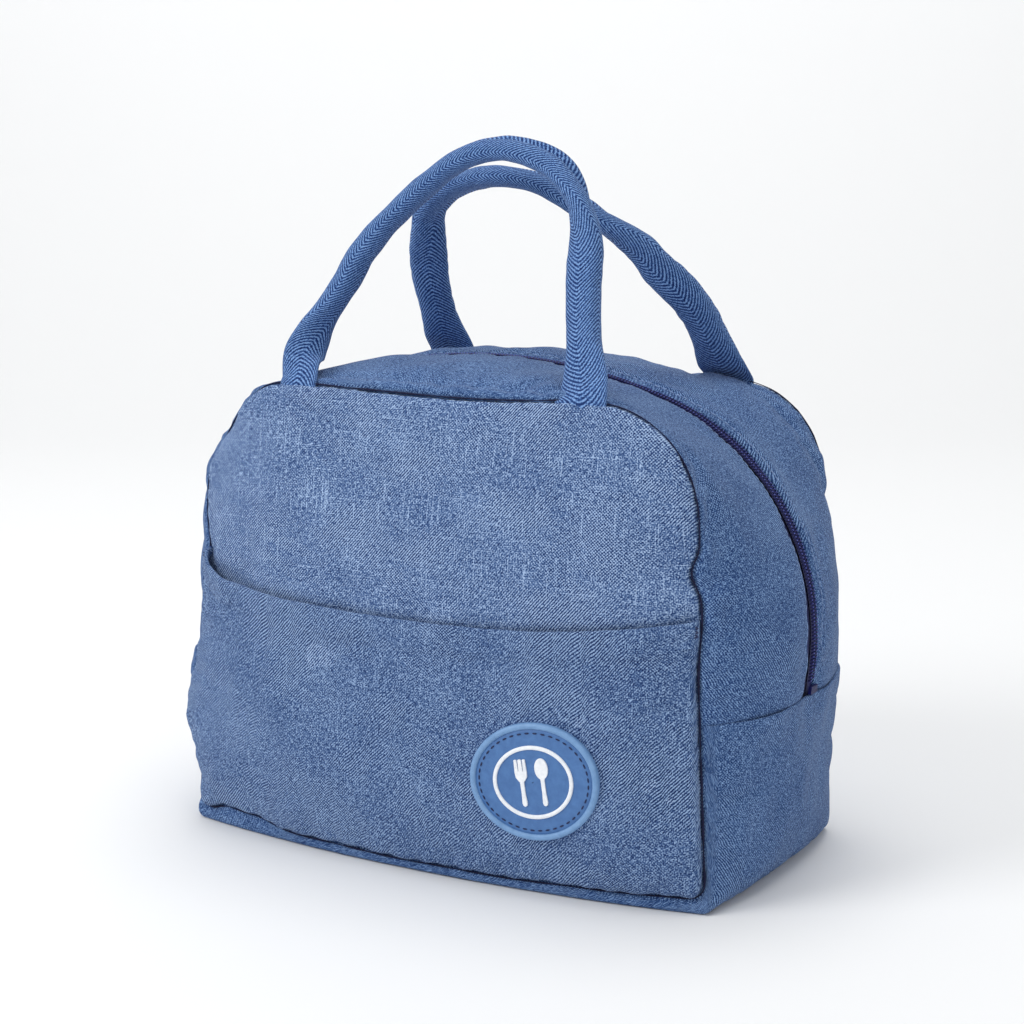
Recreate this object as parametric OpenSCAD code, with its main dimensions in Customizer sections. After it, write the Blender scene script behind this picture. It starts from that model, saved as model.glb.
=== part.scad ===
// Zip-around lunch bag. Millimetres, Z up, front is -Y, origin at the bottom centre.
// Every sub-part is one module, drawn where it sits in the closed, standing bag.

/* [Shell] */
// Half width of the front and back panels at the base seam
base_half = 115.5; // [105:0.5:120]
// Half width of the panels where the upper corners start
top_half = 109; // [102:0.5:114]
// Height of the front and back panels at the top seam
seam_top = 185; // [176:1:190]
// Depth between the outer faces of the two panels
depth = 132; // [124:1:140]
// Half width of the bag at the bulged middle of the sides
ridge_half = 130.5; // [126:0.5:134]
// Height of the zipper line at its highest
ridge_top = 193.4; // [190:0.2:196]
// How far left of the middle the zipper line is highest
ridge_lean = 10; // [0:1:12]
// Height of the fold the front opens along
fold_z = 118; // [117:0.5:121]

/* [Walls] */
// Outer fabric thickness
fabric_t = 0.8; // [0.6:0.1:1]
// Insulating foam thickness
foam_t = 3; // [2:0.5:4]
// Foil lining thickness
lining_t = 0.4; // [0.3:0.1:0.5]

/* [Zipper] */
// Height on the sides where the zipper ends
zip_end_z = 70; // [66:1:74]
// Half width of the uncovered zipper between the folded strips
zip_gap = 5.2; // [5.2:0.2:6]
// Distance from the middle to the sewn edge of each tape
tape_y = 12; // [11:0.5:13]
// Length of the slider body
slider_l = 11; // [9:0.5:12]
// Length of the pull tab below its pivot
pull_l = 22; // [18:1:26]

/* [Handles] */
// Half spacing of the handle feet
foot_x = 63; // [58:1:66]
// Height of the handle arcs above the top seam
handle_h = 88; // [80:1:95]
// Width of the rolled webbing
grip_w = 15; // [12:1:18]
// Thickness of the rolled webbing
grip_t = 9; // [7:1:10]

/* [Pocket and badge] */
// Height of the pocket edge at the middle
pocket_z = 99; // [92:1:102]
// Height the pocket edge gains at the seams
pocket_rise = 11; // [6:1:12]
// Badge centre across the front
badge_x = 50; // [40:1:60]
// Badge centre height
badge_z = 43.6; // [40:0.2:50]
// Badge width
badge_w = 54; // [48:1:60]
// Badge height
badge_h = 46; // [40:1:50]

/* [Hidden] */
eps = 0.01;
// half outline = [base half, top half, base z, top z, base radius, top radius, crown angle, apex]
side_r = 93;
seam = [base_half, top_half, 5, seam_top, 10, 40, 3, 0];
ridge_right = [base_half + 7.5, ridge_half, -0.6, ridge_top, 10, side_r, 20, -ridge_lean];
ridge_left = [base_half + 7.5, ridge_half, -0.6, ridge_top, 10, side_r, 9, ridge_lean];
seams = [seam, seam];
ridges = [ridge_right, ridge_left];
plate_out = depth / 2;
plate_in = plate_out - fabric_t;
foam_in = plate_in - foam_t;
lining_in = foam_in - lining_t;
wall_t = fabric_t + foam_t + lining_t;
fold_gap = 0.15;
fold_lo = fold_z - fold_gap;
fold_hi = fold_z + fold_gap;
bulge_p = 1.8;
base_steps = 5;
mid_steps = 4;
top_steps = 10;
crown_steps = 4;
// stations across the depth, from the middle of the zipper to a panel
half_ys = [zip_gap, tape_y, 24, 36, 47, 56, 61.5, 64.4, plate_in];
tape_ys = [0.9, zip_gap, tape_y];
coil_ys = [1, 3];
floor_ys = concat([for (k = [len(half_ys) - 1:-1:1]) -half_ys[k]], [0],
                  [for (k = [1:len(half_ys) - 1]) half_ys[k]]);
front_ys = [for (k = [len(half_ys) - 1:-1:0]) -half_ys[k]];
front_foam_ys = [for (k = [len(half_ys) - 1:-1:1]) -half_ys[k]];
back_foam_ys = [for (k = [1:len(half_ys) - 1]) half_ys[k]];

// tangent arc geometry of one outline
function top_cx(o) = o[1] - o[5];
function crown_r(o) = o[5] + (top_cx(o) - o[7]) / sin(o[6]);
function top_cz(o) = o[3] - (o[5] * cos(o[6]) + crown_r(o) * (1 - cos(o[6])));
function base_c(o) = [o[0] - o[4], o[2] + o[4]];
function top_c(o) = [top_cx(o), top_cz(o)];
function side_angle(o) = let(d = top_c(o) - base_c(o))
    atan2(d[1], d[0]) - acos((o[4] - o[5]) / norm(d));
function on_base(o, i, a) = base_c(o) + (o[4] - i) * [cos(a), sin(a)];
function on_top(o, i, a) = top_c(o) + (o[5] - i) * [cos(a), sin(a)];
function on_crown(o, i, a) = [o[7], o[3] - crown_r(o)] + (crown_r(o) - i) * [cos(a), sin(a)];
// point of the side at a given height
function at_z(o, i, z) = let(a = side_angle(o), p = on_base(o, i, a), q = on_top(o, i, a))
    z < q[1] ? p + (q - p) * (z - p[1]) / (q[1] - p[1])
    : [top_cx(o) + sqrt(pow(o[5] - i, 2) - pow(z - top_cz(o), 2)), z];
function lift(p, i) = [p[0], max(p[1], i)];
// stations of the right half, bottom to top, in three runs
function low_run(o, i) = concat([[0, o[2] + i]],
    [for (k = [0:base_steps]) on_base(o, i, -90 + (side_angle(o) + 90) * k / base_steps)],
    [at_z(o, i, zip_end_z)]);
function mid_run(o, i, lo, hi) =
    [for (k = [0:mid_steps]) at_z(o, i, lo + (hi - lo) * k / mid_steps)];
function top_start(o, i, z) = max(side_angle(o), asin((z - top_cz(o)) / (o[5] - i)));
function top_run(o, i, z) = concat([at_z(o, i, z)],
    [for (k = [1:top_steps]) let(a = top_start(o, i, z), e = 90 - o[6])
        on_top(o, i, a + (e - a) * k / top_steps)],
    [for (k = [1:crown_steps]) on_crown(o, i, 90 - o[6] + o[6] * k / crown_steps)]);
function flip(l) = [for (k = [len(l) - 1:-1:0]) [-l[k][0], l[k][1]]];
function tail(l) = [for (k = [1:len(l) - 1]) l[k]];
// full runs, all in the same sense round the bag; o holds the right and left half outlines
function low_loop(o, i) = concat(flip(tail(low_run(o[1], i))), low_run(o[0], i));
function top_loop(o, i, z) = concat(top_run(o[0], i, z), tail(flip(top_run(o[1], i, z))));
function arch_half(o, i) = let(m = mid_run(o, i, zip_end_z, fold_z))
    concat([for (k = [0:len(m) - 2]) m[k]], top_run(o, i, fold_z));
function arch_loop(o, i) = concat(arch_half(o[0], i), tail(flip(arch_half(o[1], i))));
function side_loop(o, i, s) = s > 0 ? mid_run(o[0], i, zip_end_z, fold_lo)
    : flip(mid_run(o[1], i, zip_end_z, fold_lo));
function loop(kind, o, i) = kind == "low" ? low_loop(o, i) : kind == "top" ? top_loop(o, i, fold_hi)
    : kind == "arch" ? arch_loop(o, i) : side_loop(o, i, kind == "left" ? -1 : 1);
function puff(y) = pow(max(0, 1 - pow(abs(y) / plate_in, bulge_p)), 1 / bulge_p);
// one grid row per station along the loop
function skin(kind, i, ys) = let(a = loop(kind, seams, i), b = loop(kind, ridges, i))
    [for (k = [0:len(a) - 1]) [for (y = ys) let(p = lift(a[k] + (b[k] - a[k]) * puff(y), i))
        [p[0], y, p[1]]]];

// closed solid between two matching grids
module slab(g, h) {
    n = len(g); m = len(g[0]);
    pts = concat([for (r = g) for (p = r) p], [for (r = h) for (p = r) p]);
    o = n * m;
    polyhedron(points = pts, convexity = 8, faces = concat(
        [for (i = [0:n - 2]) for (j = [0:m - 2]) for (t = [0, 1])
            let(a = i * m + j, b = a + m, c = b + 1, d = a + 1) t == 0 ? [a, b, c] : [a, c, d]],
        [for (i = [0:n - 2]) for (j = [0:m - 2]) for (t = [0, 1])
            let(a = o + i * m + j, b = a + m, c = b + 1, d = a + 1) t == 0 ? [a, c, b] : [a, d, c]],
        [for (i = [0:n - 2]) for (t = [0, 1]) let(a = i * m, b = a + m)
            t == 0 ? [a, o + a, o + b] : [a, o + b, b]],
        [for (i = [0:n - 2]) for (t = [0, 1]) let(a = i * m + m - 1, b = a + m)
            t == 0 ? [a, b, o + b] : [a, o + b, o + a]],
        [for (j = [0:m - 2]) for (t = [0, 1]) let(a = j, b = a + 1)
            t == 0 ? [a, b, o + b] : [a, o + b, o + a]],
        [for (j = [0:m - 2]) for (t = [0, 1]) let(a = (n - 1) * m + j, b = a + 1)
            t == 0 ? [a, o + a, o + b] : [a, o + b, b]]));
}
// layer of the gusset between two insets
module layer(kind, ys, i0, i1) slab(skin(kind, i0, ys), skin(kind, i1, ys));
module ends(ys, i0, i1) for (side = ["left", "right"]) layer(side, ys, i0, i1);

// flat panel between two depths, drawn from an upright outline
module upright(y0, y1) translate([0, y1, 0]) rotate([90, 0, 0]) linear_extrude(y1 - y0) children();
function below(i, z) = let(l = low_run(seam, i),
    h = concat(tail(l), [at_z(seam, i, z)])) concat(flip(h), h);
function above(i, z) = top_loop(seams, i, z);
function whole(i) = let(h = tail(low_run(seam, i)), r = top_run(seam, i, fold_z),
    u = concat(h, [for (k = [0:len(r) - 1]) r[k]])) concat(flip(u), [for (k = [0:len(u) - 2]) u[k]]);
module panel_low(i, y0, y1) upright(y0, y1) polygon(below(i, fold_lo));
module panel_top(i, y0, y1) upright(y0, y1) polygon(above(i, fold_hi));
module panel_all(i, y0, y1) upright(y0, y1) polygon(whole(i));

fabric_col = [0.29, 0.42, 0.58];
strip_col = [0.27, 0.39, 0.55];
foam_col = [0.93, 0.93, 0.90];
foil_col = [0.75, 0.77, 0.79];
navy_col = [0.13, 0.19, 0.33];
metal_col = [0.18, 0.24, 0.38];
badge_col = [0.16, 0.36, 0.66];
white_col = [0.94, 0.95, 0.96];
thread_col = [0.12, 0.24, 0.42];

// ---- outer fabric ----
module front_panel() color(fabric_col) panel_low(0, -plate_out, -plate_in);
module front_panel_top() color(fabric_col) panel_top(0, -plate_out, -plate_in);
module back_panel() color(fabric_col) panel_all(0, plate_in, plate_out);
module lower_gusset() color(strip_col) layer("low", floor_ys, 0, fabric_t);
module zip_strip_front() color(strip_col) layer("top", front_ys, 0, fabric_t);
module zip_strip_front_ends() color(strip_col) ends(front_ys, 0, fabric_t);
module zip_strip_back() color(strip_col) layer("arch", half_ys, 0, fabric_t);

// ---- insulating foam ----
foam_out = fabric_t + foam_t;
rim_in = wall_t + 2;
module foam_front() color(foam_col) panel_low(rim_in, -plate_in, -foam_in);
module foam_front_top() color(foam_col) panel_top(rim_in, -plate_in, -foam_in);
module foam_back() color(foam_col) panel_all(rim_in, foam_in, plate_in);
module foam_floor() color(foam_col) layer("low", floor_ys, fabric_t, foam_out);
module foam_strip_front() color(foam_col) layer("top", front_foam_ys, fabric_t, foam_out);
module foam_strip_front_ends() color(foam_col) ends(front_foam_ys, fabric_t, foam_out);
module foam_strip_back() color(foam_col) layer("arch", back_foam_ys, fabric_t, foam_out);

// ---- foil lining ----
module lining_front() color(foil_col) panel_low(rim_in, -foam_in, -lining_in);
module lining_front_top() color(foil_col) panel_top(rim_in, -foam_in, -lining_in);
module lining_back() color(foil_col) panel_all(rim_in, lining_in, foam_in);
module lining_floor() color(foil_col) layer("low", floor_ys, foam_out, wall_t);
module lining_strip_front() color(foil_col) layer("top", front_foam_ys, foam_out, wall_t);
module lining_strip_front_ends() color(foil_col) ends(front_foam_ys, foam_out, wall_t);
module lining_strip_back() color(foil_col) layer("arch", back_foam_ys, foam_out, wall_t);

// ---- slip pocket ----
pocket_t = 1.2;
hem_h = 11;
hem_t = 0.9;
pocket_sag = 2.2;
pocket_out = plate_out + pocket_t;
function pocket_edge(x) = pocket_z + pocket_rise * pow(abs(x) / top_half, pocket_sag);
pocket_xs = [for (k = [-12:12]) k / 12];
function side_x(z, i) = z < 15 ? on_base(seam, i, side_angle(seam))[0] : at_z(seam, i, z)[0];
// edge station scaled so the outermost points land on the seam
function edge_pt(t, i, drop) = let(z = pocket_edge(t * top_half) - drop, x = side_x(z, i)) [t * x, z];
function pocket_low(i) = [for (k = [base_steps:-1:0])
    on_base(seam, i, -90 + (side_angle(seam) + 90) * k / base_steps)];
pocket_inset = 0.6;
module front_pocket() color(fabric_col) upright(-pocket_out, -plate_out) polygon(concat(
    [for (t = pocket_xs) edge_pt(t, pocket_inset, 0)], pocket_low(pocket_inset),
    [for (p = flip(pocket_low(pocket_inset))) p]));
module pocket_hem() color(strip_col) upright(-pocket_out - hem_t, -pocket_out) polygon(concat(
    [for (t = pocket_xs) edge_pt(t, pocket_inset, 0)],
    [for (k = [len(pocket_xs) - 1:-1:0]) edge_pt(pocket_xs[k], pocket_inset, hem_h)]));
bartack_l = 9;
bartack_w = 2;
bartack_t = 0.7;
bartack_in = 4.5;
module pocket_bartacks() color(thread_col) for (t = [-1, 1])
    let(z = pocket_edge(t * top_half) - bartack_l / 2 - 1, x = t * (side_x(z, 0) - bartack_in))
    translate([x, -pocket_out - hem_t - bartack_t / 2, z])
        cube([bartack_w, bartack_t, bartack_l], center = true);

// ---- zipper ----
tape_t = 0.8;
tape_in = fabric_t + tape_t;
coil_h = 0.8;
function neg(l) = [for (k = [len(l) - 1:-1:0]) -l[k]];
module zipper_tape_front() color(navy_col) layer("top", neg(tape_ys), fabric_t, tape_in);
module zipper_tape_front_ends() color(navy_col) ends(neg(tape_ys), fabric_t, tape_in);
module zipper_tape_back() color(navy_col) layer("arch", tape_ys, fabric_t, tape_in);
module zipper_coil_front() color(navy_col) layer("top", neg(coil_ys), -coil_h, fabric_t);
module zipper_coil_front_ends() color(navy_col) ends(neg(coil_ys), -coil_h, fabric_t);
module zipper_coil_back() color(navy_col) layer("arch", coil_ys, -coil_h, fabric_t);

// frame at the parked slider on the left: +X outward, +Z along the track
park_a = side_angle(ridge_left);
track_c = top_c(ridge_left);
track_r = side_r;
module parked() translate([-track_c[0], 0, track_c[1]]) rotate([0, park_a, 0])
    mirror([1, 0, 0]) translate([track_r, 0, 0]) children();
stop_l = 3;
stop_gap = 1.3;
// crimped stops closing both ends of the track
module zipper_stops() color(metal_col) for (s = [-1, 1])
    let(o = s > 0 ? ridge_right : ridge_left, p = at_z(o, 0, zip_end_z + stop_l))
    translate([s * p[0], 0, p[1]]) rotate([0, -s * side_angle(o), 0])
        translate([s * (coil_h + stop_gap / 2), 0, 0])
            cube([stop_gap, 2 * coil_ys[1], stop_l], center = true);

slider_w = 9.5;
wing_t = 1;
run_gap = 0.4;
wing_out = coil_h + run_gap;
wing_top = wing_out + wing_t;
inner_top = tape_in + 0.7;
inner_t = 1;
inner_w = 7;
flange_y = coil_ys[1] + 0.3;
flange_t = 1.4;
neck_w = 1.2;
neck_l = 3;
neck_end = 0.6;
slider_r = 1.6;
module plate_yz(w, l, r, x0, x1) translate([x0, 0, 0]) rotate([0, 90, 0]) linear_extrude(x1 - x0)
    hull() for (a = [-1, 1]) for (b = [-1, 1]) translate([a * (l / 2 - r), b * (w / 2 - r)])
        circle(r = r, $fn = 16);
// outer and inner wings joined by the neck at the leading end, flanges beside the coils
module slider_body() color(metal_col) parked() {
    plate_yz(slider_w, slider_l, slider_r, wing_out, wing_top);
    plate_yz(inner_w, slider_l, slider_r, -inner_top - inner_t, -inner_top);
    translate([-inner_top - eps, -neck_w / 2, -slider_l / 2 + neck_end])
        cube([inner_top + wing_out + 2 * eps, neck_w, neck_l]);
    for (s = [-1, 1]) translate([-fabric_t + run_gap, s > 0 ? flange_y : -flange_y - flange_t,
        -slider_l / 2 + slider_r])
        cube([wing_out + fabric_t - run_gap + eps, flange_t, slider_l - 2 * slider_r]);
}
pin_r = 0.6;
pin_gap = 0.3;
pin_x = wing_top + pin_gap + pin_r;
bail_w = 1.8;
bail_l = 6.8;
bail_foot = 1;
bail_t = 0.7;
bail_in = pin_x + pin_r + pin_gap;
// bridge along the slider that holds the crossbar of the pull
module slider_bail() color(metal_col) parked() {
    for (s = [-1, 1]) translate([wing_top, -bail_w / 2, s > 0 ? bail_l / 2 - bail_foot : -bail_l / 2])
        cube([bail_in + bail_t - wing_top, bail_w, bail_foot]);
    translate([bail_in, -bail_w / 2, -bail_l / 2]) cube([bail_t, bail_w, bail_l]);
}
pull_w = 6;
pull_t = 1.1;
eye_w = 2.7;
eye_l = 4.6;
hole_d = 2.6;
hole_in = 3.4;
// crossbar under the bridge, two rails round it and the flat tab they join, hanging plumb
module pull_tab() color(metal_col) parked() translate([pin_x, 0, 0]) rotate([0, park_a, 0]) {
    rotate([90, 0, 0]) cylinder(r = pin_r, h = pull_w, center = true, $fn = 24);
    translate([-pull_t / 2, 0, 0]) rotate([0, 90, 0]) linear_extrude(pull_t) difference() {
        union() {
            translate([0, -pull_w / 2]) square([pull_l - pull_w / 2, pull_w]);
            translate([pull_l - pull_w / 2, 0]) circle(d = pull_w, $fn = 32);
        }
        translate([-eps, -eye_w / 2]) square([eye_l, eye_w]);
        translate([pull_l - hole_in, 0]) circle(d = hole_d, $fn = 24);
    }
}

// ---- handles ----
tab_w = 22;
tab_t = 2.4;
tab_top = seam_top + 4;
tab_down = 6;
tab_cut = 12;
rim_ys = [half_ys[6], half_ys[7], half_ys[8]];
module tabs(s) difference() {
    for (t = [-1, 1]) translate([t * foot_x - tab_w / 2, s > 0 ? plate_out - tab_t : -plate_out,
        tab_top - fold_gap - tab_down]) cube([tab_w, tab_t, tab_down]);
    if (s < 0) layer("top", neg(rim_ys), 0, tab_cut);
    else layer("arch", rim_ys, 0, tab_cut);
    if (s < 0) panel_top(0, -plate_out - eps, -plate_in);
    else panel_all(0, plate_in, plate_out + eps);
}
module handle_tabs_front() color(navy_col) tabs(-1);
module handle_tabs_back() color(navy_col) tabs(1);

ring_n = 12;
route_steps = 4;
// route rows: [share of the foot spacing, distance in from the foot, share of the height]
front_route = [[-1, 0, 0], [-1.01, 4, 0.07], [-1.03, 13, 0.18], [-0.97, 25, 0.34], [-0.84, 34, 0.53],
    [-0.6, 41, 0.73], [-0.26, 45, 0.92], [0.06, 46, 1], [0.36, 45, 0.96], [0.61, 41, 0.8],
    [0.73, 35, 0.59], [0.82, 25, 0.37], [0.91, 13, 0.18], [0.99, 4, 0.07], [1, 0, 0]];
rear_route = [[-1, 0, 0], [-1.03, 4, 0.07], [-1.05, 13, 0.18], [-1.03, 25, 0.35], [-0.96, 36, 0.56],
    [-0.8, 42, 0.74], [-0.5, 47, 0.86], [-0.16, 49, 0.86], [0.16, 49, 0.77], [0.5, 47, 0.64],
    [0.78, 40, 0.5], [0.98, 28, 0.33], [1.05, 14, 0.18], [1.03, 4, 0.07], [1, 0, 0]];
function route_pt(r, s) = [r[0] * foot_x, s * (plate_out - tab_t / 2 - r[1]),
    tab_top + fold_gap + r[2] * handle_h];
// smooth curve through four neighbouring rows
function bend(a, b, c, d, t) = 0.5 * (2 * b + (c - a) * t + (2 * a - 5 * b + 4 * c - d) * t * t
    + (3 * b - a - 3 * c + d) * t * t * t);
function curve(l) = let(n = len(l)) concat([for (k = [0:n - 2]) for (j = [0:route_steps - 1])
    bend(l[max(k - 1, 0)], l[k], l[k + 1], l[min(k + 2, n - 1)], j / route_steps)], [l[n - 1]]);
function unit(v) = v / norm(v);
foot_half = [tab_w / 2, tab_t / 2];
grip_half = [grip_w / 2, grip_t / 2];
foot_share = 0.03;
blend_share = 0.16;
function ease(t) = let(u = min(1, max(0, t))) u * u * (3 - 2 * u);
function half_at(t) = foot_half + (grip_half - foot_half)
    * ease((min(t, 1 - t) - foot_share) / blend_share);
function sq_pow(v, p) = sign(v) * pow(abs(v), p);
round_p = 0.75;
// swept webbing: flat at both feet, rolled in the grip
module strap(route, s) {
    c = curve([for (r = route) route_pt(r, s)]);
    n = len(c);
    pts = [for (k = [0:n - 1]) let(
        t = k == 0 ? [0, 0, 1] : k == n - 1 ? [0, 0, -1] : unit(c[k + 1] - c[k - 1]),
        w = unit(cross([0, 1, 0], t)), b = cross(t, w), h = half_at(k / (n - 1)))
        for (j = [0:ring_n - 1]) let(a = 360 * (j + 0.5) / ring_n)
            c[k] + w * h[0] * sq_pow(cos(a), round_p) + b * h[1] * sq_pow(sin(a), round_p)];
    polyhedron(points = pts, convexity = 6, faces = concat(
        [for (k = [0:n - 2]) for (j = [0:ring_n - 1]) for (u = [0, 1])
            let(a = k * ring_n + j, b = k * ring_n + (j + 1) % ring_n, d = a + ring_n, e = b + ring_n)
            u == 0 ? [a, d, e] : [a, e, b]],
        [[for (j = [0:ring_n - 1]) j]],
        [[for (j = [ring_n - 1:-1:0]) (n - 1) * ring_n + j]]));
}
module handle_front() color(navy_col) strap(front_route, -1);
module handle_back() color(navy_col) strap(rear_route, 1);

// ---- badge ----
badge_tilt = 9;
badge_t = 1.6;
badge_rim_t = 0.6;
badge_rim_w = 2.4;
mark_t = 0.5;
ring_share = 0.6;
ring_w = 1.3;
stitch_share = 0.86;
stitch_n = 34;
stitch_size = [2, 0.6, 0.4];
// flat piece standing proud of the pocket, drawn in the tilted badge frame
module on_badge(y0, y1) translate([badge_x, -y0, badge_z]) rotate([90, 0, 0])
    linear_extrude(y1 - y0) rotate(badge_tilt) children();
module oval(share, in) scale([(badge_w * share / 2 - in) / (badge_h * share / 2 - in), 1])
    circle(r = badge_h * share / 2 - in, $fn = 72);
badge_face = pocket_out + badge_t;
module badge_base() color(badge_col) {
    on_badge(pocket_out, badge_face) oval(1, 0);
    on_badge(badge_face - eps, badge_face + badge_rim_t) difference() {
        oval(1, 0);
        oval(1, badge_rim_w);
    }
}
module badge_ring() color(white_col) on_badge(badge_face, badge_face + mark_t) difference() {
    oval(ring_share, 0);
    oval(ring_share, ring_w);
}
module badge_stitching() color(thread_col) on_badge(badge_face, badge_face + stitch_size[2])
    for (k = [0:stitch_n - 1]) let(a = 360 * k / stitch_n, x = stitch_share * badge_w / 2,
        y = stitch_share * badge_h / 2)
        translate([x * cos(a), y * sin(a)]) rotate(atan2(y * cos(a), -x * sin(a)))
            square([stitch_size[0], stitch_size[1]], center = true);
fork_x = -4.2;
spoon_x = 4.2;
stem_w = 1.6;
stem_lo = -8.4;
neck_up = 1.4;
tool_top = 8.6;
prong_w = 1;
prong_step = 1.7;
module stem() {
    translate([-stem_w / 2, stem_lo]) square([stem_w, neck_up - stem_lo + 1]);
    translate([0, stem_lo]) circle(d = stem_w + 0.6, $fn = 20);
}
module badge_fork() color(white_col) on_badge(badge_face, badge_face + mark_t)
    translate([fork_x, 0]) {
        stem();
        for (k = [-1:1]) translate([k * prong_step - prong_w / 2, neck_up + 2])
            square([prong_w, tool_top - neck_up - 2]);
        translate([-prong_step - prong_w / 2, neck_up]) square([2 * prong_step + prong_w, 3]);
    }
bowl = [5.2, 7.4];
module badge_spoon() color(white_col) on_badge(badge_face, badge_face + mark_t)
    translate([spoon_x, 0]) {
        stem();
        translate([0, tool_top - bowl[1] / 2]) scale([bowl[0] / bowl[1], 1])
            circle(d = bowl[1], $fn = 40);
    }

// ---- binding over the inner seams ----
bind_t = 1.2;
bind_ys = [half_ys[5], half_ys[6]];
module binding(kind, s) layer(kind, s > 0 ? bind_ys : neg(bind_ys), wall_t, wall_t + bind_t);
module seam_binding_front() color(navy_col) {
    binding("low", -1);
    binding("left", -1);
    binding("right", -1);
}
module seam_binding_front_top() color(navy_col) binding("top", -1);
module seam_binding_back() color(navy_col) {
    binding("low", 1);
    binding("arch", 1);
}

front_panel();
front_panel_top();
back_panel();
lower_gusset();
zip_strip_front();
zip_strip_front_ends();
zip_strip_back();
foam_front();
foam_front_top();
foam_back();
foam_floor();
foam_strip_front();
foam_strip_front_ends();
foam_strip_back();
lining_front();
lining_front_top();
lining_back();
lining_floor();
lining_strip_front();
lining_strip_front_ends();
lining_strip_back();
front_pocket();
pocket_hem();
pocket_bartacks();
zipper_tape_front();
zipper_tape_front_ends();
zipper_tape_back();
zipper_coil_front();
zipper_coil_front_ends();
zipper_coil_back();
zipper_stops();
slider_body();
slider_bail();
pull_tab();
handle_front();
handle_back();
handle_tabs_front();
handle_tabs_back();
badge_base();
badge_ring();
badge_fork();
badge_spoon();
badge_stitching();
seam_binding_front();
seam_binding_front_top();
seam_binding_back();
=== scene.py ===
import math

import bpy
import numpy as np
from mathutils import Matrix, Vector


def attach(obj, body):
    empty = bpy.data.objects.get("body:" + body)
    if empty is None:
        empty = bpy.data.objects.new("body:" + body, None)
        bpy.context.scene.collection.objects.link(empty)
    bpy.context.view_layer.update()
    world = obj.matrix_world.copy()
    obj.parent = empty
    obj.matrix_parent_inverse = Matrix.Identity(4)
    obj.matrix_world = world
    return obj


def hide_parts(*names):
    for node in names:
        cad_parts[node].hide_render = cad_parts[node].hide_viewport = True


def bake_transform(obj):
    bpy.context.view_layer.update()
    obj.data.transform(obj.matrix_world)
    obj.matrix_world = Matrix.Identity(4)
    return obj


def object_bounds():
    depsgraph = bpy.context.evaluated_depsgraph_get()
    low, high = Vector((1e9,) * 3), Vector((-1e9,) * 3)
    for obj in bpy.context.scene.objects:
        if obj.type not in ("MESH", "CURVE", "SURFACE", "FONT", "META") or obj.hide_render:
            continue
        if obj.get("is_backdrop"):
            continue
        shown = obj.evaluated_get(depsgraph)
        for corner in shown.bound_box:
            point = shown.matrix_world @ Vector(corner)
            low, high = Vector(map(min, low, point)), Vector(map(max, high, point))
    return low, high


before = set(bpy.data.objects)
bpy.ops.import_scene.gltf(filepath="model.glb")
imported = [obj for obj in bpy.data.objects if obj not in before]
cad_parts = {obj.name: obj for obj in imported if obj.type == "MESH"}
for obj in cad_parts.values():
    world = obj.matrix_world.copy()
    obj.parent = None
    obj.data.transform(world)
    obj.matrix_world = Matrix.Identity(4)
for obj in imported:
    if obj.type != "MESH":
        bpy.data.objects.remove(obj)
start_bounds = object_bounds()
MM = 0.001
scene = bpy.context.scene

# ------------------------------------------------------------------ outlines (mm)
# half width at the base, half width at the top, base z, top z, base corner radius, top corner radius,
# slope of the crown where it meets the corner in degrees, x of the crown's highest point
SEAM = (115.5, 109.0, 5.0, 185.0, 7.0, 40.0, 3.0, 0.0)
RIDGE_R = (123.0, 130.5, -0.6, 193.4, 7.0, 93.0, 20.0, -10.0)
RIDGE_L = (123.0, 130.5, -0.6, 193.4, 7.0, 93.0, 9.0, 10.0)
ZIP_END, FOLD = 70.0, 118.0  # heights where the zipper strips start and where the front folds
HALF_Y = 62.5  # from the middle plane to either seam
FLOOR_GAP = 0.5  # lowest cloth above the floor
STRIP_EDGE = 5.7  # from the middle of the zipper to the strips' folded edges
TOPSTITCH = 8.5
COIL_PITCH = 1.36
WEB_ROUND = 44.0  # width of the webbing laid flat, once round the grip
SIM_FRAMES = 18
MOVE_CAP = 3.2  # furthest that the cloth simulation may carry a point


def smooth(a, b, x):
    """0 at a, 1 at b, with an eased run between; a may be larger than b."""
    t = np.clip((np.asarray(x, float) - a) / (b - a), 0, 1)
    return t * t * (3 - 2 * t)


def bell(x, middle, width):
    return np.exp(-(((x - middle) / width) ** 2))


class Half:
    """Half outline: base corner arc, side, top corner arc, crown, with marks at the stations 0 to 5."""

    def __init__(self, o):
        base_half, top_half, bz, tz, br, tr, slope, apex = o
        c = math.radians(slope)
        cx = top_half - tr
        rc = tr + (cx - apex) / math.sin(c)
        cz = tz - (tr * math.cos(c) + rc * (1 - math.cos(c)))
        bc = np.array([base_half - br, bz + br])
        tc = np.array([cx, cz])
        d = tc - bc
        a0 = math.atan2(d[1], d[0]) - math.acos((br - tr) / np.hypot(*d))

        def arc(c0, r, a, b, n):
            t = np.linspace(a, b, n)
            return np.c_[c0[0] + r * np.cos(t), c0[1] + r * np.sin(t)]

        base = arc(bc, br, -math.pi / 2, a0, 60)
        top = arc(tc, tr, a0, math.pi / 2 - c, 400)
        crown = arc((apex, tz - rc), rc, math.pi / 2 - c, math.pi / 2, 200)
        side = np.linspace(base[-1], top[0], 400)
        flat = np.linspace([0, bz], base[0], 50)
        p = np.vstack([flat[:-1], base[:-1], side[:-1], top[:-1], crown])
        s = np.r_[0, np.cumsum(np.hypot(*np.diff(p, axis=0).T))]
        up = slice(108, 900)
        at = lambda z: float(np.interp(z, p[up, 1], s[up]))
        self.p, self.s = p, s
        self.marks = [0, s[49], s[108], at(ZIP_END), at(FOLD), s[-1]]

    def at(self, q):
        s = np.interp(q, range(6), self.marks)
        return np.interp(s, self.s, self.p[:, 0]), np.interp(s, self.s, self.p[:, 1])


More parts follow.
